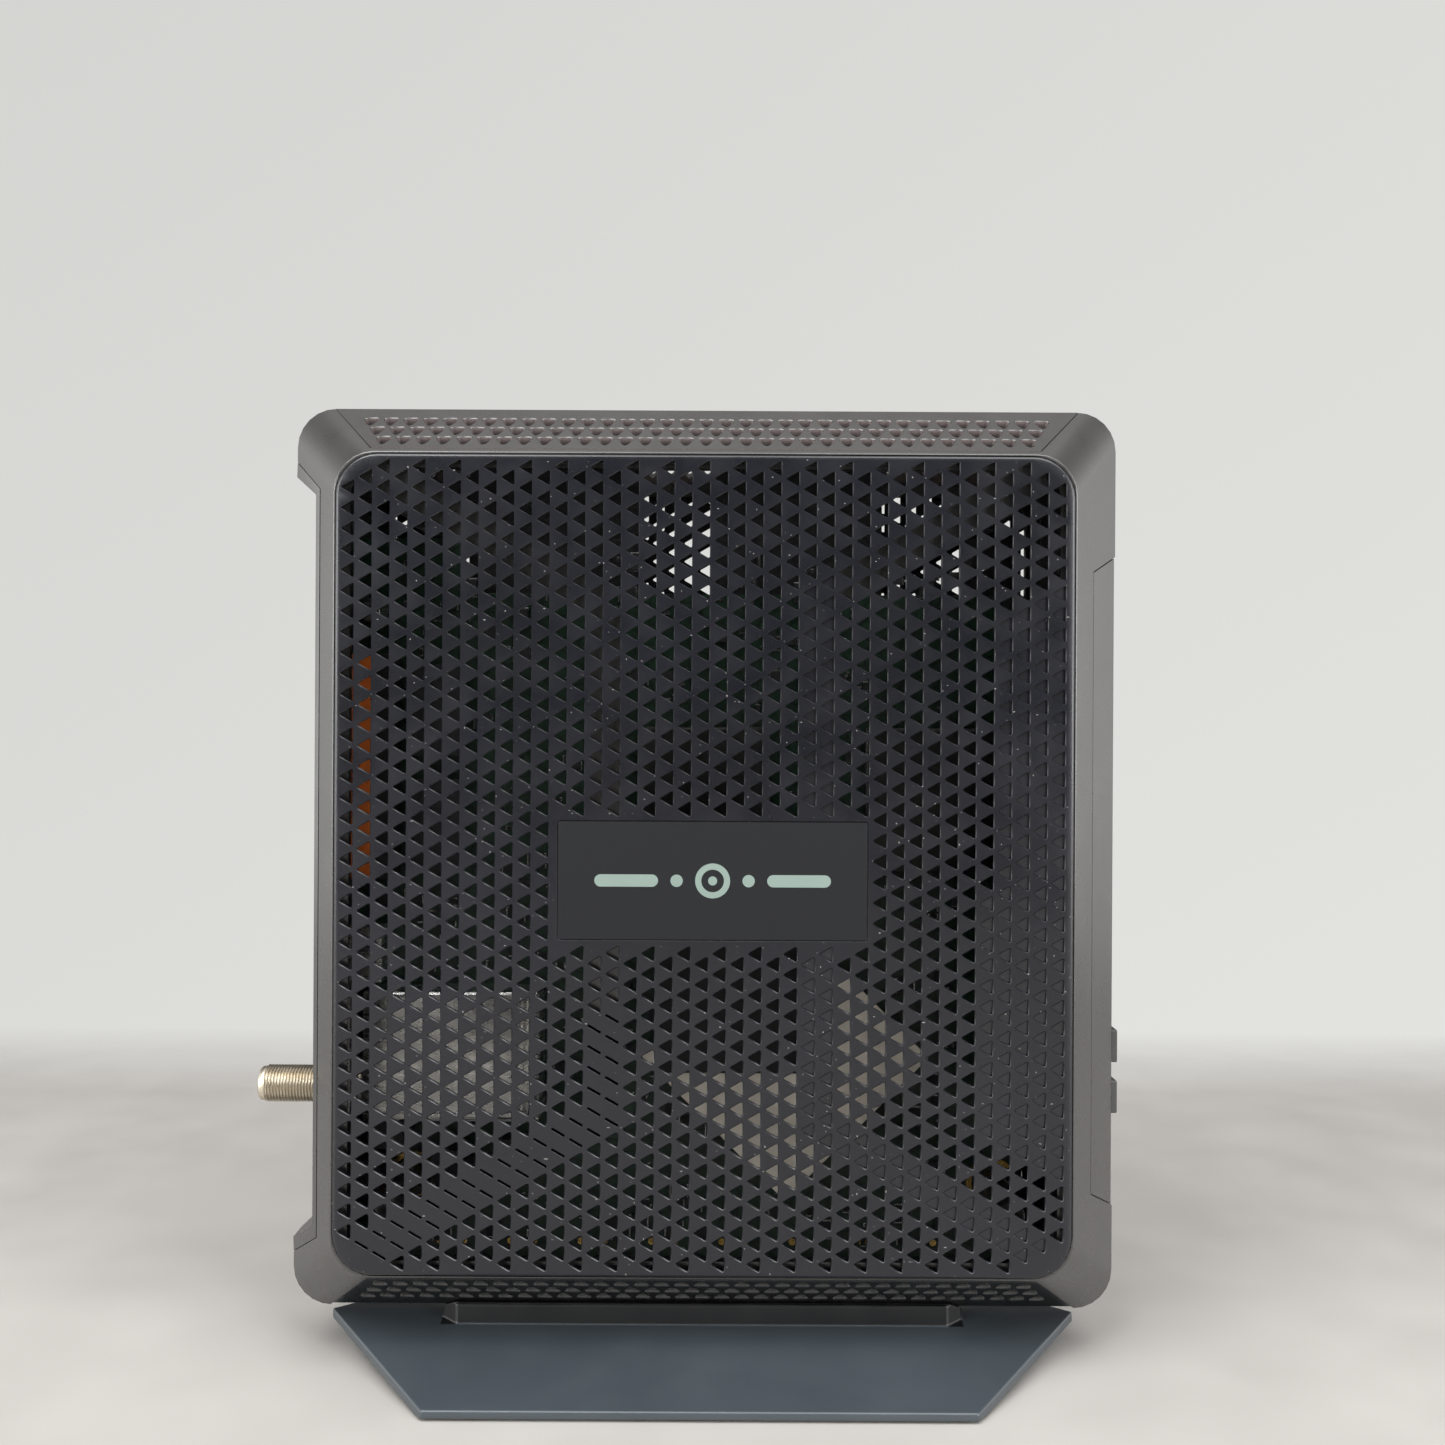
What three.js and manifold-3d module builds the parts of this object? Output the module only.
// Upright cable modem router on a low tent-shaped stand.
// Millimetres, +Z up, near side facing -Y, status lights on +X, sockets on -X.
// The origin is the centre of the overall footprint, on the table.

import * as THREE from 'three';
import { mergeVertices } from 'three/addons/utils/BufferGeometryUtils.js';
import Module from 'manifold-3d';

const wasm = await Module();
wasm.setup();

// ---------------------------------------------------------------- dimensions

const GAP = 0.3;               // clearance between neighbouring pieces
const ARC_STEPS = 6;           // facets in a quarter circle

const HALF_WIDTH = 105;        // housing, X
const BOTTOM = 11.25;          // housing's lowest edge above the table
const TOP = 241.25;            // housing's highest edge
const HALF_THICK = 24;         // housing, Y
const HALF_BAND = 4;           // flat band round the middle of the edge
const BEVEL_WIDE = 15;         // bevel, measured in the XZ plane
const BEVEL_DEEP = HALF_THICK - HALF_BAND;
const CORNER = 10;             // corner radius of every outline
const WALL = 2.2;
const BEVEL_SLOPE = BEVEL_WIDE / BEVEL_DEEP;
const BEVEL_STRETCH = Math.hypot(BEVEL_WIDE, BEVEL_DEEP) / BEVEL_DEEP;

const RIM_DEPTH = 23.2;        // depth where a shell's rim ends, just under the panel face
const PANEL_THICK = 2;
const PANEL_HALF_X = 89.8;
const PANEL_HALF_Z = 99.8;
const MIDDLE_Z = (BOTTOM + TOP) / 2;
const SEAT_DEPTH = HALF_THICK - PANEL_THICK - GAP;
const SEAT_THICK = 2.5;        // ledge and brace arms behind the panel
const ARM_WIDE = 8.6;
const ARM_X = [-24.3, 27.7];   // the two upright arms, behind the panel
const ARM_ROW = 19;            // lattice row where the slanted arms would meet at X 0
const HOLES = { column: 4.33, halfRow: 2.515 };  // lattice of the panel's triangular holes

const LEDGE = 3;               // how far the seat reaches in under the panel's edge
const UNDER_GRILLE = 0.7;      // shell wall left below a grille's skin
// The bracket that holds the status lights' board, as an outline behind the panel's +X edge.
const LIGHTS_BRACKET = [[71.3, 186], [89.8, 196.8], [89.8, 48.2], [67, 61.4], [67, 119.5], [71.3, 119.5]];

const BADGE = { x: 2.2, z: 122.7, wide: 75.2, high: 28.6, thick: 0.5 };

const NOTCH_FLOOR_X = -97.1;   // recessed face of the socket panel
const SOCKET_PLATE = 1.1;
const NOTCH = { topIn: 220, topOut: 227.5, lowIn: 31.6, lowOut: 24.9 };
const RAMP = { topIn: 217.6, topOut: 223.8, lowIn: 35.3, lowOut: 28.5 };

const BEZEL_IN_X = 97;
const BEZEL = { topIn: 199.1, topOut: 203.9, lowIn: 44.1, lowOut: 38.1 };
const BEZEL_INSET = 0.4;
const BEZEL_WALL = 2;

const STAND = { tipX: 96, cornerX: 64.25, halfDeep: 43, ridge: 8.8, rimTop: 2.6, rimLow: 0.6, lip: 4.5 };
const CRADLE = { halfLong: 66.5, faceHalf: 62.5, halfDeep: 7.2, top: 13.2, chamfer: 0.4 };
const TONGUE = { x: 40, wide: 12, thick: 3, top: 17 };
const RIB = { x: [-34, 0, 34], thick: 2, low: 1, sunk: 1 };   // stiffeners under the stand
const FOOT = { x: 50, y: 29, wide: 16, deep: 8, thick: 1, corner: 2, seat: 2 };

// The coaxial socket's thread is 3/8-32; its flange sits on the tuner's can.
const COAX = {
  z: 67.1, tipX: -114.5, thread: 4.75, nose: 4.1, noseLong: 0.7, bore: 3.6,
  flange: 5.5, flangeThick: 3, boreFloor: 8, pinHole: 0.6, pinFloor: 16,
};
const LAN = { z: 149.5, pitch: 13.97, count: 4, half: 28.7, back: -80.5, front: -6.6 };
const LAN_MOUTH = { high: 11.8, span: [-3.6, 3.8], wall: 3 };
const LAN_LATCH = { high: 6, span: [-5.4, -3.5], wall: 6 };
const USB = { z: 101, high: 14.4, deep: 7, back: -83, wall: 0.9, tongueHigh: 11, tongue: [0.4, 2.2] };
const DC = {
  z: 44, high: 9.4, front: -5.4, faceX: -93.6, backX: -82.6,
  neck: 3.3, bore: 2.8, boreX: -86, pin: 1,
};
const POWER = { z: 54.8, cap: 7.2, capBackX: -93, flange: 8.6, stem: 3, switchX: -86.5, travel: 2 };
const RESET = { z: 190, radius: 1.4, frontX: -93.2, switchX: -88, hole: 1, travel: 0.5 };

const SIDE_BUTTONS = { wifi_button: 78.4, wps_button: 65.3 };
const BUTTON_FACE_X = 106.5;
const BUTTON_HIGH = 8.4;
const BUTTON_DEEP = 6;
const BUTTON_TRAVEL = 1;
const LIGHTS_Z = [192, 173, 161.5, 150, 138.5, 127, 112.6, 101];
const LIGHT = { high: 1.2, deep: 3.6, spineX: [96.4, 98.4], spineDeep: 5, spineZ: [98, 195] };
const SIDE_SWITCH = { size: 6, plunger: 1.7, stands: 0.9 };
const KEY_STEM = 3;            // square stem from a side button in to its switch
const POWER_SWITCH = { long: 9.5, high: 7.4, front: -4 };
const RESET_SWITCH = { long: 4, high: 6, front: -3 };
const DIODE = { deep: 2.8, high: 2, stands: 1 };

const BOARD = { left: -93.5, right: 84, low: 20, high: 195, front: 7, back: 8.6 };
const BOARD_TAB = { right: -64, high: 209.5 };   // the board's taller corner beside the sockets
const LED_BOARD_X = 92;
const LED_BOARD = { thick: 1.6, deep: 14, span: [52, 197] };
const TUNER = { left: -87, right: -42, low: 59, high: 92, front: -6.5 };
const SINK = { x: 20.9, z: 75.5, side: 52, front: -5, thick: 2, block: 26 };
const PROCESSOR = { size: 27, high: 2 };
const RADIO_CANS = { radio_shield_1: [[42, 80], [122, 160]], radio_shield_2: [[-17, 17], [128, 160]] };
const RADIO_CAN_HIGH = 3.2;
const LAN_TRANSFORMERS = { x: [-76, -64], z: [[122, 146], [152, 176]], high: 5.6 };
const MEMORY = { x: [-11, 3], z: [100, 112], high: 1 };
const INDUCTOR = { x: [-53, -43], z: [42, 52], high: 4.4 };
const CAPACITOR = { radius: 5, front: -7, place: [-65, 47] };
const AERIAL_DEPTH = [14, 14.8];
const LEAD_RADIUS = 0.6;

// Housing screws pass from the far side into the near side, where the brace arms meet the corners.
const HOUSING_SCREWS = [[-74, 215.5], [75.5, 217], [-77, 41], [76, 40]];
const BOARD_SCREWS = ARM_X.flatMap((x) => [[x, 172], [x, 110]]);
const HOUSING_SCREW = { seatY: 8.3, headY: 10.3, tipY: -9, head: 2.8, shank: 1.3, hole: 1.65, well: 3.4 };
const BOARD_SCREW = { seatY: BOARD.front - GAP, headY: 4.9, tipY: 15, head: 2.4, shank: 1, hole: 1.35 };
const POST = { near: 3.5, far: 4.2, board: 3.2, meet: 0.2, nearFloor: -12, wellFloor: 8 };

// ---------------------------------------------------------------- materials

const finish = (color, roughness, metalness = 0) =>
  new THREE.MeshStandardMaterial({ color, roughness, metalness });

const COLOURS = {
  shell: [0x5a5955, 0.45], panel: [0x2a2b30, 0.5], stand: [0x424a50, 0.45], badge: [0x1f2022, 0.7],
  rubber: [0x1c1c1c, 0.9], blackPlastic: [0x151515, 0.5], orange: [0xc8501e, 0.5],
  nickel: [0xb8b2a4, 0.3, 1], tin: [0xc8c8c4, 0.35, 1], aluminium: [0xc9c2b0, 0.5, 1],
  board: [0x17301f, 0.5], steel: [0x8a8a8a, 0.35, 1], clear: [0xe8e8e0, 0.2], white: [0xe4e2d8, 0.5],
  ribbon: [0xdedccf, 0.5], chip: [0x1a1a1c, 0.6],
};

// ---------------------------------------------------------------- solids

function toSolid(geometry) {
  const bare = geometry.clone();
  bare.deleteAttribute('normal');
  bare.deleteAttribute('uv');
  const merged = mergeVertices(bare);
  return new wasm.Manifold(new wasm.Mesh({
    numProp: 3,
    vertProperties: new Float32Array(merged.attributes.position.array),
    triVerts: new Uint32Array(merged.index.array),
  }));
}

function toGeometry(solid) {
  const { vertProperties, triVerts } = solid.getMesh();
  const geometry = new THREE.BufferGeometry();
  geometry.setAttribute('position', new THREE.BufferAttribute(new Float32Array(vertProperties), 3));
  geometry.setIndex(new THREE.BufferAttribute(new Uint32Array(triVerts), 1));
  geometry.computeVertexNormals();
  return geometry;
}

const join = (...solids) => solids.reduce((a, b) => a.add(b));
const cut = (solid, ...tools) => tools.reduce((a, b) => a.subtract(b), solid);

function box([x0, x1], [y0, y1], [z0, z1]) {
  const geometry = new THREE.BoxGeometry(x1 - x0, y1 - y0, z1 - z0);
  geometry.translate((x0 + x1) / 2, (y0 + y1) / 2, (z0 + z1) / 2);
  return toSolid(geometry);
}

const around = (centre, size) => [centre - size / 2, centre + size / 2];

const UNIT_X = new THREE.Vector3(1, 0, 0);
const UNIT_Y = new THREE.Vector3(0, 1, 0);
const UNIT_Z = new THREE.Vector3(0, 0, 1);
const PLANES = {
  XY: new THREE.Matrix4().makeBasis(UNIT_X, UNIT_Y, UNIT_Z),
  XZ: new THREE.Matrix4().makeBasis(UNIT_X, UNIT_Z, UNIT_Y.clone().negate()),
  YZ: new THREE.Matrix4().makeBasis(UNIT_Y, UNIT_Z, UNIT_X),
};

// A closed outline in a named plane, extruded along the third axis from one place to another.
function prism(plane, outline, [from, to]) {
  const shape = new THREE.Shape(outline.map(([u, v]) => new THREE.Vector2(u, v)));
  const geometry = new THREE.ExtrudeGeometry(shape, { depth: to - from, bevelEnabled: false });
  geometry.translate(0, 0, plane === 'XZ' ? -to : from);
  geometry.applyMatrix4(PLANES[plane]);
  return toSolid(geometry);
}

// A round bar along one axis; centre gives the other two coordinates in axis order.
function rod(axis, radius, [from, to], [a, b], sides = 24) {
  const geometry = new THREE.CylinderGeometry(radius, radius, to - from, sides);
  const middle = (from + to) / 2;
  if (axis === 'X') geometry.rotateZ(Math.PI / 2).translate(middle, a, b);
  if (axis === 'Y') geometry.translate(a, middle, b);
  if (axis === 'Z') geometry.rotateX(Math.PI / 2).translate(a, b, middle);
  return toSolid(geometry);
}

// A turned piece along X: profile pairs are radius and distance towards -X from startX.
function turnedX(profile, startX, [y, z], sides = 28) {
  const points = profile.map(([radius, along]) => new THREE.Vector2(radius, along));
  const geometry = new THREE.LatheGeometry(points, sides);
  geometry.rotateZ(Math.PI / 2).translate(startX, y, z);
  return toSolid(geometry);
}

function roundRect([x0, x1], [z0, z1], radius) {
  const corners = [[x1, z0, 1, -1, -90], [x1, z1, 1, 1, 0], [x0, z1, -1, 1, 90], [x0, z0, -1, -1, 180]];
  return corners.flatMap(([x, z, sx, sz, start]) => {
    const steps = Array.from({ length: ARC_STEPS + 1 }, (_, i) => i / ARC_STEPS);
    return steps.map((t) => {
      const angle = THREE.MathUtils.degToRad(start + 90 * t);
      return [x - sx * radius + radius * Math.cos(angle), z - sz * radius + radius * Math.sin(angle)];
    });
  });
}

// Skins a row of outlines of equal length, each at its own Y, and closes both ends.
function loft(outlines, places) {
  const count = outlines[0].length;
  const positions = outlines.flatMap((outline, k) => outline.flatMap(([x, z]) => [x, places[k], z]));
  const index = [];
  for (let k = 0; k < outlines.length - 1; k += 1) {
    for (let i = 0; i < count; i += 1) {
      const next = (i + 1) % count;
      const [a, b, c, d] = [k * count + i, k * count + next, (k + 1) * count + i, (k + 1) * count + next];
      index.push(a, c, d, a, d, b);
    }
  }
  const flat = outlines[0].map(([x, z]) => new THREE.Vector2(x, z));
  const last = (outlines.length - 1) * count;
  for (const [a, b, c] of THREE.ShapeUtils.triangulateShape(flat, [])) {
    index.push(a, b, c, last + a, last + c, last + b);
  }
  const geometry = new THREE.BufferGeometry();
  geometry.setAttribute('position', new THREE.Float32BufferAttribute(positions, 3));
  geometry.setIndex(index);
  return toSolid(geometry);
}

// ---------------------------------------------------------------- housing form

// How far the housing's outline has drawn in at a depth, for a surface set in by an inset.
const drawIn = (y, inset) =>
  Math.max(inset, (Math.abs(y) - HALF_BAND) * BEVEL_SLOPE + inset * BEVEL_STRETCH);

// The bevelled block that the housing follows, set in from its surface, between two Y places.
function bevelBlock(inset, [from, to]) {
  const kink = HALF_BAND - inset * (BEVEL_STRETCH - 1) / BEVEL_SLOPE;
  const places = [from, -kink, kink, to].filter((y) => y >= from && y <= to);
  const outlines = places.map((y) => {
    const d = drawIn(y, inset);
    return roundRect([-HALF_WIDTH + d, HALF_WIDTH - d], [BOTTOM + d, TOP - d], CORNER - inset);
  });
  return loft(outlines, places);
}

const wholeBlock = (inset) => bevelBlock(inset, [-HALF_THICK, HALF_THICK]);

// A range of Y on one side, from depths measured away from the mid-plane; side is -1 near, 1 far.
const depths = (side, a, b) => (side < 0 ? [-b, -a] : [a, b]);

const panelOutline = (margin) => roundRect(
  [-PANEL_HALF_X - margin, PANEL_HALF_X + margin],
  [MIDDLE_Z - PANEL_HALF_Z - margin, MIDDLE_Z + PANEL_HALF_Z + margin],
  CORNER + margin,
);

// A flat strip between two points of the XZ plane.
function strip([ax, az], [bx, bz], wide) {
  const length = Math.hypot(bx - ax, bz - az);
  const [nx, nz] = [(-(bz - az) / length) * wide / 2, ((bx - ax) / length) * wide / 2];
  return [[ax + nx, az + nz], [ax - nx, az - nz], [bx - nx, bz - nz], [bx + nx, bz + nz]];
}

// The slanted-end notch outline on one edge, from its floor out past the housing.
function notchOutline(floorX, innerX, ends, margin) {
  const outerX = Math.sign(innerX) * HALF_WIDTH;
  const farX = Math.sign(innerX) * (HALF_WIDTH + 3);
  const along = (inZ, outZ, x) => inZ + (outZ - inZ) * (x - innerX) / (outerX - innerX);
  return [
    [floorX, along(ends.lowIn, ends.lowOut, floorX) - margin],
    [floorX, along(ends.topIn, ends.topOut, floorX) + margin],
    [farX, along(ends.topIn, ends.topOut, farX) + margin],
    [farX, along(ends.lowIn, ends.lowOut, farX) - margin],
  ];
}

const ALL_DEPTH = [-HALF_THICK - 1, HALF_THICK + 1];

// The stretch of edge that a grille fills, seen in plan: it narrows along the corner creases.
function grillePlan(margin) {
  const reach = SEAT_DEPTH - GAP + margin;
  const creaseX = (y) => HALF_WIDTH - CORNER + margin - Math.max(0, (y - HALF_BAND) * BEVEL_SLOPE);
  const quarter = [[creaseX(0), HALF_BAND], [creaseX(reach), reach]];
  return [
    ...quarter, ...quarter.map(([x, y]) => [-x, y]).reverse(),
    ...quarter.map(([x, y]) => [-x, -y]), ...quarter.map(([x, y]) => [x, -y]).reverse(),
  ];
}

// Each brace is an upright arm with a slanted one to either corner, all along rows of the hole lattice.
const armZ = (x, up) => MIDDLE_Z + HOLES.halfRow * (0.5 + up * (ARM_ROW + Math.abs(x) / HOLES.column));
const ARMS = ARM_X.flatMap((x) => {
  const edge = Math.sign(x) * PANEL_HALF_X;
  return [
    [[edge, armZ(edge, 1)], [x, armZ(x, 1)]],
    [[x, armZ(x, 1)], [x, armZ(x, -1)]],
    [[x, armZ(x, -1)], [edge, armZ(edge, -1)]],
  ];
});

function sideShell(side) {
  const outer = bevelBlock(0, depths(side, GAP / 2, RIM_DEPTH));
  const inner = bevelBlock(WALL, side < 0 ? [-SEAT_DEPTH + SEAT_THICK, 8] : [-8, SEAT_DEPTH - SEAT_THICK]);
  let shell = cut(
    outer, inner,
    prism('XZ', panelOutline(-LEDGE), depths(side, SEAT_DEPTH - SEAT_THICK - 1, HALF_THICK)),
    prism('XZ', panelOutline(GAP), depths(side, SEAT_DEPTH, HALF_THICK)),
    prism('XZ', notchOutline(NOTCH_FLOOR_X + SOCKET_PLATE + GAP, NOTCH_FLOOR_X, NOTCH, 0), ALL_DEPTH),
    prism('XZ', notchOutline(BEZEL_IN_X - GAP, BEZEL_IN_X, BEZEL, GAP), ALL_DEPTH),
  );
  const underGrille = wholeBlock(WALL + UNDER_GRILLE);
  for (const span of [[BOTTOM - 1, MIDDLE_Z], [MIDDLE_Z, TOP + 1]]) {
    shell = cut(shell, cut(prism('XY', grillePlan(GAP), span), underGrille));
  }
  const braceDepth = depths(side, SEAT_DEPTH - SEAT_THICK, SEAT_DEPTH);
  const braces = [...ARMS.map(([a, b]) => strip(a, b, ARM_WIDE)), LIGHTS_BRACKET]
    .map((outline) => prism('XZ', outline, braceDepth));
  shell = join(shell, join(...braces).intersect(prism('XZ', panelOutline(-2), braceDepth)));
  return side < 0 ? withScrewPosts(shell) : withHeadPosts(shell);
}

const POST_TOP = SEAT_DEPTH - SEAT_THICK + 0.5;

// Near shell: blind pilot posts that the housing screws bite into.
function withScrewPosts(shell) {
  for (const place of HOUSING_SCREWS) {
    shell = join(shell, rod('Y', POST.near, [-POST_TOP, -POST.meet], place));
    shell = cut(shell, rod('Y', HOUSING_SCREW.hole, [POST.nearFloor, 1], place, 12));
  }
  return shell;
}

// Far shell: counterbored posts that take the screw heads, and posts that carry the main board.
function withHeadPosts(shell) {
  for (const place of HOUSING_SCREWS) {
    shell = join(shell, rod('Y', POST.far, [POST.meet, POST_TOP], place));
    shell = cut(
      shell,
      rod('Y', HOUSING_SCREW.hole, [-1, POST.wellFloor + 1], place, 12),
      rod('Y', HOUSING_SCREW.well, [POST.wellFloor, HALF_THICK], place),
    );
  }
  for (const place of BOARD_SCREWS) {
    shell = join(shell, rod('Y', POST.board, [BOARD.back + GAP, POST_TOP], place, 16));
    shell = cut(shell, rod('Y', BOARD_SCREW.hole, [BOARD.back, BOARD_SCREW.tipY + 1], place, 12));
  }
  return shell;
}

// The perforated face; its holes are too many to cut here, so this is its plate and badge pocket.
function sidePanel(side) {
  const pocket = BADGE.thick + GAP;
  let panel = cut(
    prism('XZ', panelOutline(0), depths(side, HALF_THICK - PANEL_THICK, HALF_THICK)),
    box(around(BADGE.x, BADGE.wide + 2 * GAP), depths(side, HALF_THICK - pocket, HALF_THICK + 1),
      around(BADGE.z, BADGE.high + 2 * GAP)),
  );
  if (side > 0) {
    const through = [HALF_THICK - PANEL_THICK - 1, HALF_THICK + 1];
    for (const place of HOUSING_SCREWS) panel = cut(panel, rod('Y', HOUSING_SCREW.well, through, place));
  }
  return panel;
}

const sideBadge = (side) => box(
  around(BADGE.x, BADGE.wide),
  depths(side, HALF_THICK - BADGE.thick, HALF_THICK),
  around(BADGE.z, BADGE.high),
);

function grille(span, inset) {
  const skin = cut(wholeBlock(inset), wholeBlock(inset + WALL - 0.2));
  return skin.intersect(prism('XY', grillePlan(0), span));
}

function bottomGrille() {
  const slots = [-TONGUE.x, TONGUE.x].map((x) =>
    box(around(x, TONGUE.wide + 2 * GAP), around(0, TONGUE.thick + 2 * GAP), [BOTTOM - 1, BOTTOM + 5]));
  return cut(grille([BOTTOM - 1, MIDDLE_Z], 0.5), ...slots);
}

// ---------------------------------------------------------------- stand

const WING_DROP = (STAND.ridge - STAND.rimTop) / STAND.halfDeep;

function standBase() {
  const { tipX, cornerX, halfDeep, ridge, rimTop, rimLow } = STAND;
  const lipDeep = halfDeep - STAND.lip;
  const underRidge = rimLow + lipDeep * WING_DROP;
  const roof = [
    [-halfDeep, rimLow], [-lipDeep, rimLow], [0, underRidge], [lipDeep, rimLow],
    [halfDeep, rimLow], [halfDeep, rimTop], [0, ridge], [-halfDeep, rimTop],
  ];
  const plan = [
    [-tipX, 0], [-cornerX, -halfDeep], [cornerX, -halfDeep],
    [tipX, 0], [cornerX, halfDeep], [-cornerX, halfDeep],
  ];
  const under = [
    [-halfDeep, RIB.low], [halfDeep, RIB.low],
    [halfDeep, rimTop - RIB.sunk], [0, ridge - RIB.sunk], [-halfDeep, rimTop - RIB.sunk],
  ];
  const ribs = RIB.x.map((x) => prism('YZ', under, around(x, RIB.thick)));
  const seats = footPlaces().map(([x, y]) =>
    box(around(x, FOOT.wide), around(y, FOOT.deep), [FOOT.thick + GAP, FOOT.thick + FOOT.seat]));
  const base = join(prism('YZ', roof, [-tipX - 1, tipX + 1]), ...ribs, ...seats)
    .intersect(prism('XY', plan, [0, TOP]));
  return join(base, cradle());
}

// The raised trough that hugs the housing's lower bevels, with two upright tongues in it.
function cradle() {
  const { halfLong, faceHalf, halfDeep, top, chamfer } = CRADLE;
  const low = STAND.ridge - halfDeep * WING_DROP - 1;
  const section = [
    [-halfDeep, low], [halfDeep, low], [halfDeep, top - chamfer], [halfDeep - chamfer, top],
    [-halfDeep + chamfer, top], [-halfDeep, top - chamfer],
  ];
  const plan = [
    [-halfLong, 0], [-halfLong, -HALF_BAND], [-faceHalf, -halfDeep], [faceHalf, -halfDeep],
    [halfLong, -HALF_BAND], [halfLong, HALF_BAND], [faceHalf, halfDeep], [-faceHalf, halfDeep],
    [-halfLong, HALF_BAND],
  ];
  const block = prism('YZ', section, [-halfLong, halfLong]).intersect(prism('XY', plan, [0, top]));
  const tongues = [-TONGUE.x, TONGUE.x].map((x) =>
    box(around(x, TONGUE.wide), around(0, TONGUE.thick), [STAND.ridge, TONGUE.top]));
  return join(cut(block, wholeBlock(0.2)), ...tongues);
}

const footPlaces = () => [[-1, -1], [1, -1], [1, 1], [-1, 1]].map(([sx, sy]) => [sx * FOOT.x, sy * FOOT.y]);

const foot = ([x, y]) => {
  const outline = roundRect(around(x, FOOT.wide), around(y, FOOT.deep), FOOT.corner);
  return prism('XY', outline, [0, FOOT.thick]);
};

// ---------------------------------------------------------------- socket edge

const SOCKET_FLANGE = { deep: 22.6, thick: 2, span: [34.5, 216] };   // inner flange behind the plate
const SOCKET_FRONT_X = NOTCH_FLOOR_X + 0.1;

function socketPanel() {
  const floor = notchOutline(NOTCH_FLOOR_X + SOCKET_PLATE, NOTCH_FLOOR_X, NOTCH, -GAP);
  const ramp = notchOutline(NOTCH_FLOOR_X, NOTCH_FLOOR_X, RAMP, 0);
  const plate = cut(prism('XZ', floor, ALL_DEPTH), prism('XZ', ramp, ALL_DEPTH)).intersect(wholeBlock(0.1));
  const flangeX = [NOTCH_FLOOR_X + 1, NOTCH_FLOOR_X + SOCKET_PLATE + SOCKET_FLANGE.thick];
  const flange = box(flangeX, around(0, SOCKET_FLANGE.deep), SOCKET_FLANGE.span);
  const through = [NOTCH_FLOOR_X - 1, NOTCH_FLOOR_X + 5];
  const powerHole = POWER.cap + 2 * GAP;
  return cut(
    join(plate, flange),
    rod('X', COAX.thread + 0.4, through, [0, COAX.z]),
    box(through, [LAN.front - GAP, BOARD.front], around(LAN.z, 2 * LAN.half + 2 * GAP)),
    box(through, around(0, USB.deep + 2 * GAP), around(USB.z, USB.high + 2 * GAP)),
    rod('X', DC.neck + GAP, through, [0, DC.z]),
    box(through, around(0, powerHole), around(POWER.z, powerHole)),
    rod('X', RESET.hole, through, [0, RESET.z], 12),
  );
}

const COAX_BASE_X = TUNER.left - GAP;
const COAX_LONG = COAX_BASE_X - COAX.tipX;

const coaxBody = () => turnedX([
  [0, 0], [COAX.flange, 0], [COAX.flange, COAX.flangeThick], [COAX.thread, COAX.flangeThick],
  [COAX.thread, COAX_LONG - COAX.noseLong], [COAX.nose, COAX_LONG],
  [COAX.bore, COAX_LONG], [COAX.bore, COAX.boreFloor], [0, COAX.boreFloor],
], COAX_BASE_X, [0, COAX.z]);

const coaxInsulator = () => turnedX([
  [0, COAX.boreFloor + GAP], [COAX.bore - GAP, COAX.boreFloor + GAP],
  [COAX.bore - GAP, COAX_LONG - 0.5], [COAX.pinHole, COAX_LONG - 0.5],
  [COAX.pinHole, COAX.pinFloor], [0, COAX.pinFloor],
], COAX_BASE_X, [0, COAX.z]);

function lanPortBlock() {
  let block = box([SOCKET_FRONT_X, LAN.back], [LAN.front, BOARD.front - GAP], around(LAN.z, 2 * LAN.half));
  for (let i = 0; i < LAN.count; i += 1) {
    const z = LAN.z + (i - (LAN.count - 1) / 2) * LAN.pitch;
    for (const { high, span, wall } of [LAN_MOUTH, LAN_LATCH]) {
      block = cut(block, box([SOCKET_FRONT_X - 1, LAN.back - wall], span, around(z, high)));
    }
  }
  return block;
}

const usbShell = () => cut(
  box([SOCKET_FRONT_X, USB.back], around(0, USB.deep), around(USB.z, USB.high)),
  box(
    [SOCKET_FRONT_X - 1, USB.back - 1],
    around(0, USB.deep - 2 * USB.wall),
    around(USB.z, USB.high - 2 * USB.wall),
  ),
);

const usbTongue = () =>
  box([SOCKET_FRONT_X + 1.5, USB.back - 1 - GAP], USB.tongue, around(USB.z, USB.tongueHigh));

const dcJack = () => cut(
  join(
    box([DC.faceX, DC.backX], [DC.front, BOARD.front - GAP], around(DC.z, DC.high)),
    rod('X', DC.neck, [SOCKET_FRONT_X, DC.faceX + 1], [0, DC.z]),
  ),
  rod('X', DC.bore, [SOCKET_FRONT_X - 1, DC.boreX], [0, DC.z]),
);

const dcPin = () => rod('X', DC.pin, [SOCKET_FRONT_X + 1, DC.boreX - GAP], [0, DC.z], 12);

const powerButton = () => join(
  box([NOTCH_FLOOR_X - 0.2, POWER.capBackX], around(0, POWER.cap), around(POWER.z, POWER.cap)),
  box([POWER.capBackX - 0.7, POWER.capBackX + 0.8], around(0, POWER.flange), around(POWER.z, POWER.flange)),
  box(
    [POWER.capBackX, POWER.switchX - POWER.travel - GAP],
    around(0, POWER.stem),
    around(POWER.z, POWER.stem),
  ),
);

// The body of a switch that stands on the main board behind its button.
const boardSwitch = (x, z, { long, high, front }) =>
  box([x, x + long], [front, BOARD.front - GAP], around(z, high));

const resetButton = () =>
  rod('X', RESET.radius, [RESET.frontX, RESET.switchX - RESET.travel - GAP], [0, RESET.z], 16);

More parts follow.
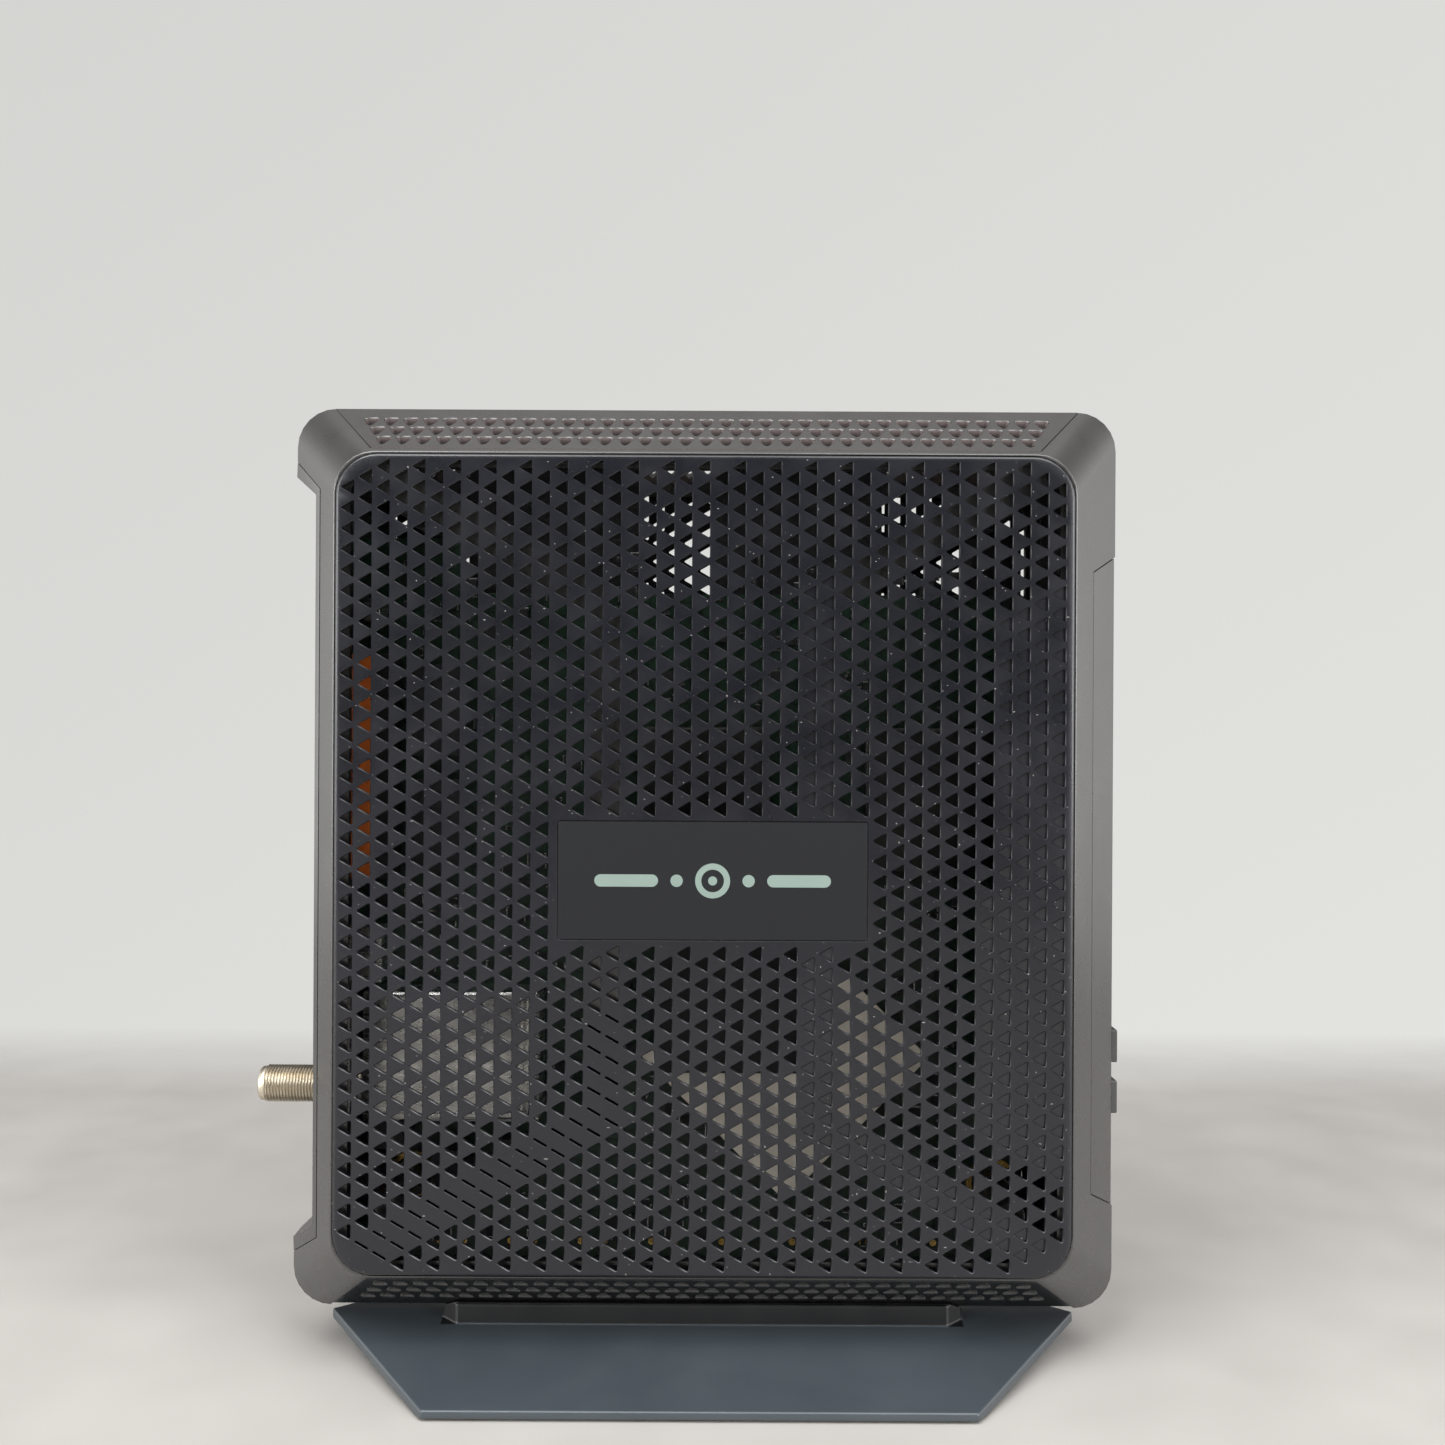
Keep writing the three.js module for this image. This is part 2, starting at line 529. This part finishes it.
// ---------------------------------------------------------------- status-light edge

const BEZEL_FACE_X = HALF_WIDTH - BEZEL_INSET;
const BEZEL_BACK_X = BEZEL_FACE_X - BEZEL_WALL;

function lightBezel() {
  const outline = notchOutline(BEZEL_IN_X, BEZEL_IN_X, BEZEL, 0);
  const hollow = notchOutline(BEZEL_IN_X - 1, BEZEL_IN_X, BEZEL, -BEZEL_WALL);
  const skin = prism('XZ', outline, ALL_DEPTH).intersect(wholeBlock(BEZEL_INSET));
  const inside = prism('XZ', hollow, ALL_DEPTH).intersect(wholeBlock(BEZEL_INSET + BEZEL_WALL));
  const through = [BEZEL_BACK_X - 2, HALF_WIDTH + 2];
  const buttonHoles = Object.values(SIDE_BUTTONS).map((z) =>
    box(through, around(0, BUTTON_DEEP + 2 * GAP), around(z, BUTTON_HIGH + 2 * GAP)));
  const lightSlots = LIGHTS_Z.map((z) =>
    box(through, around(0, LIGHT.deep + 2 * GAP), around(z, LIGHT.high + 2 * GAP)));
  return cut(skin, inside, ...buttonHoles, ...lightSlots);
}

function lightGuide() {
  const spine = box(LIGHT.spineX, around(0, LIGHT.spineDeep), LIGHT.spineZ);
  const prongX = [LIGHT.spineX[1] - 0.2, BEZEL_FACE_X - 0.1];
  const prongs = LIGHTS_Z.map((z) => box(prongX, around(0, LIGHT.deep), around(z, LIGHT.high)));
  return join(spine, ...prongs);
}

const SWITCH_FRONT_X = 97.4;
const PLUNGER_X = SWITCH_FRONT_X + SIDE_SWITCH.stands;

function sideButton(z) {
  return join(
    box([BEZEL_BACK_X - 1, BUTTON_FACE_X], around(0, BUTTON_DEEP), around(z, BUTTON_HIGH)),
    box([BEZEL_BACK_X - GAP - 1.5, BEZEL_BACK_X - GAP], around(0, BUTTON_DEEP), around(z, BUTTON_HIGH + 2)),
    box([PLUNGER_X + BUTTON_TRAVEL + GAP, BEZEL_BACK_X - 1], around(0, KEY_STEM), around(z, KEY_STEM)),
  );
}

const sideSwitch = (z) => join(
  box(
    [LED_BOARD_X + LED_BOARD.thick + GAP, SWITCH_FRONT_X],
    around(0, SIDE_SWITCH.size),
    around(z, SIDE_SWITCH.size),
  ),
  rod('X', SIDE_SWITCH.plunger, [SWITCH_FRONT_X - 0.5, PLUNGER_X], [0, z], 16),
);

// Strip board behind the status lights, with one light-emitting diode behind each guide prong.
function ledBoard() {
  const face = LED_BOARD_X + LED_BOARD.thick;
  const board = box([LED_BOARD_X, face], around(0, LED_BOARD.deep), LED_BOARD.span);
  const diodes = LIGHTS_Z.map((z) =>
    box([face - GAP, face + DIODE.stands], around(0, DIODE.deep), around(z, DIODE.high)));
  return join(board, ...diodes);
}

// Flat cable from the main board round to the strip board.
const RIBBON = {
  plan: [[78, 6.7], [78, 6.3], [85.6, 6.3], [87.4, 4.9], [91.7, 4.9], [91.7, 5.3], [87.6, 5.3], [85.8, 6.7]],
  span: [103, 113],
};
const ledRibbon = () => prism('XY', RIBBON.plan, RIBBON.span);

// ---------------------------------------------------------------- inside

function mainBoard() {
  const thick = [BOARD.front, BOARD.back];
  const through = [BOARD.front - 1, BOARD.back + 1];
  let board = join(
    box([BOARD.left, BOARD.right], thick, [BOARD.low, BOARD.high]),
    box([BOARD.left, BOARD_TAB.right], thick, [BOARD.high - 1, BOARD_TAB.high]),
  );
  for (const place of HOUSING_SCREWS) board = cut(board, rod('Y', POST.far + 0.8, through, place));
  for (const place of BOARD_SCREWS) board = cut(board, rod('Y', BOARD_SCREW.shank + 0.4, through, place, 12));
  return board;
}

const onBoard = (height) => [BOARD.front - GAP - height, BOARD.front - GAP];

const tunerShield = () =>
  box([TUNER.left, TUNER.right], [TUNER.front, BOARD.front - GAP], [TUNER.low, TUNER.high]);

const socChip = () =>
  box(around(SINK.x, PROCESSOR.size), onBoard(PROCESSOR.high), around(SINK.z, PROCESSOR.size));

// Square heat spreader turned through 45 degrees, on a block that reaches down to the processor.
function heatSpreader() {
  const half = SINK.side / Math.SQRT2;
  const diamond = [
    [SINK.x - half, SINK.z], [SINK.x, SINK.z - half], [SINK.x + half, SINK.z], [SINK.x, SINK.z + half],
  ];
  const chipTop = BOARD.front - PROCESSOR.high - 2 * GAP;
  return join(
    prism('XZ', diamond, [SINK.front, SINK.front + SINK.thick]),
    box(around(SINK.x, SINK.block), [SINK.front + 1, chipTop], around(SINK.z, SINK.block)),
  );
}

const antennaBoard = ([x, z], [wide, high]) => box(around(x, wide), AERIAL_DEPTH, around(z, high));

// Thin aerial lead on a smooth path.
function lead(points) {
  const path = new THREE.CatmullRomCurve3(points.map(([x, y, z]) => new THREE.Vector3(x, y, z)));
  const section = new THREE.Shape();
  section.absarc(0, 0, LEAD_RADIUS, 0, 2 * Math.PI);
  const geometry = new THREE.ExtrudeGeometry(section, { steps: 20, curveSegments: 4, extrudePath: path });
  return toSolid(geometry);
}

const AERIALS = {
  antenna_board_1: { place: [-41, 212], size: [46, 34] },
  antenna_board_2: { place: [24, 212], size: [46, 34] },
  antenna_board_3: { place: [77, 172], size: [15, 78] },
};
const LEADS = {
  antenna_lead_1: [[-47, 13, 207], [-47, 12.4, 202], [-46, 7.5, 198.6], [-45, 4.4, 192], [-44, 5.6, 182]],
  antenna_lead_2: [[14, 13, 206], [14, 12.4, 202], [13, 7.5, 198.6], [12, 4.4, 192], [10, 5.6, 182]],
  antenna_lead_3: [[76, 13, 137], [80, 13, 131], [87.4, 9.5, 126], [87.2, 5, 120], [80, 5.4, 117]],
};

// A pan-head screw along Y: its head's underside is at seatY and its shank runs to tipY.
function screw([x, z], { seatY, headY, tipY, head, shank }) {
  const rooted = seatY + Math.sign(headY - seatY) * 0.2;
  const span = (a, b) => [Math.min(a, b), Math.max(a, b)];
  return join(
    rod('Y', head, span(seatY, headY), [x, z], 18),
    rod('Y', shank, span(rooted, tipY), [x, z], 12),
  );
}

// ---------------------------------------------------------------- assembly

const modem = new THREE.Group();
modem.name = 'cable_modem';
// The coaxial socket and the buttons stand out unequally, which puts the housing off the footprint's centre.
modem.position.x = -(BUTTON_FACE_X + COAX.tipX) / 2;

function place(name, solid, colour) {
  const mesh = new THREE.Mesh(toGeometry(solid), finish(...COLOURS[colour]));
  mesh.name = name;
  modem.add(mesh);
}

place('stand_base', standBase(), 'stand');
footPlaces().forEach((at, i) => place(`stand_foot_${i + 1}`, foot(at), 'rubber'));

for (const [name, side] of [['near', -1], ['far', 1]]) {
  place(`${name}_shell`, sideShell(side), 'shell');
  place(`${name}_panel`, sidePanel(side), 'panel');
  place(`${name}_badge`, sideBadge(side), 'badge');
}
place('top_grille', grille([MIDDLE_Z, TOP + 1], 0), 'shell');
place('bottom_grille', bottomGrille(), 'shell');

place('socket_panel', socketPanel(), 'shell');
place('coax_connector', coaxBody(), 'nickel');
place('coax_insulator', coaxInsulator(), 'white');
place('lan_port_block', lanPortBlock(), 'orange');
place('usb_port', usbShell(), 'tin');
place('usb_tongue', usbTongue(), 'blackPlastic');
place('dc_jack', dcJack(), 'blackPlastic');
place('dc_pin', dcPin(), 'nickel');
place('power_button', powerButton(), 'blackPlastic');
place('power_switch', boardSwitch(POWER.switchX, POWER.z, POWER_SWITCH), 'blackPlastic');
place('reset_button', resetButton(), 'blackPlastic');
place('reset_switch', boardSwitch(RESET.switchX, RESET.z, RESET_SWITCH), 'tin');

place('light_bezel', lightBezel(), 'shell');
place('light_guide', lightGuide(), 'clear');
place('led_board', ledBoard(), 'board');
place('led_ribbon', ledRibbon(), 'ribbon');
for (const [name, z] of Object.entries(SIDE_BUTTONS)) {
  place(name, sideButton(z), 'blackPlastic');
  place(name.replace('button', 'switch'), sideSwitch(z), 'tin');
}

place('main_board', mainBoard(), 'board');
place('tuner_shield', tunerShield(), 'tin');
place('processor', socChip(), 'chip');
place('heat_spreader', heatSpreader(), 'aluminium');
for (const [name, [x, z]] of Object.entries(RADIO_CANS)) {
  place(name, box(x, onBoard(RADIO_CAN_HIGH), z), 'tin');
}
LAN_TRANSFORMERS.z.forEach((z, i) =>
  place(`lan_transformer_${i + 1}`, box(LAN_TRANSFORMERS.x, onBoard(LAN_TRANSFORMERS.high), z), 'chip'));
place('memory_chip', box(MEMORY.x, onBoard(MEMORY.high), MEMORY.z), 'chip');
const capacitorSpan = [CAPACITOR.front, BOARD.front - GAP];
place('input_capacitor', rod('Y', CAPACITOR.radius, capacitorSpan, CAPACITOR.place, 20), 'blackPlastic');
place('power_inductor', box(INDUCTOR.x, onBoard(INDUCTOR.high), INDUCTOR.z), 'chip');
for (const [name, { place: at, size }] of Object.entries(AERIALS)) {
  place(name, antennaBoard(at, size), 'board');
}
for (const [name, points] of Object.entries(LEADS)) place(name, lead(points), 'blackPlastic');

HOUSING_SCREWS.forEach((at, i) => place(`housing_screw_${i + 1}`, screw(at, HOUSING_SCREW), 'steel'));
BOARD_SCREWS.forEach((at, i) => place(`board_screw_${i + 1}`, screw(at, BOARD_SCREW), 'steel'));

export default modem;
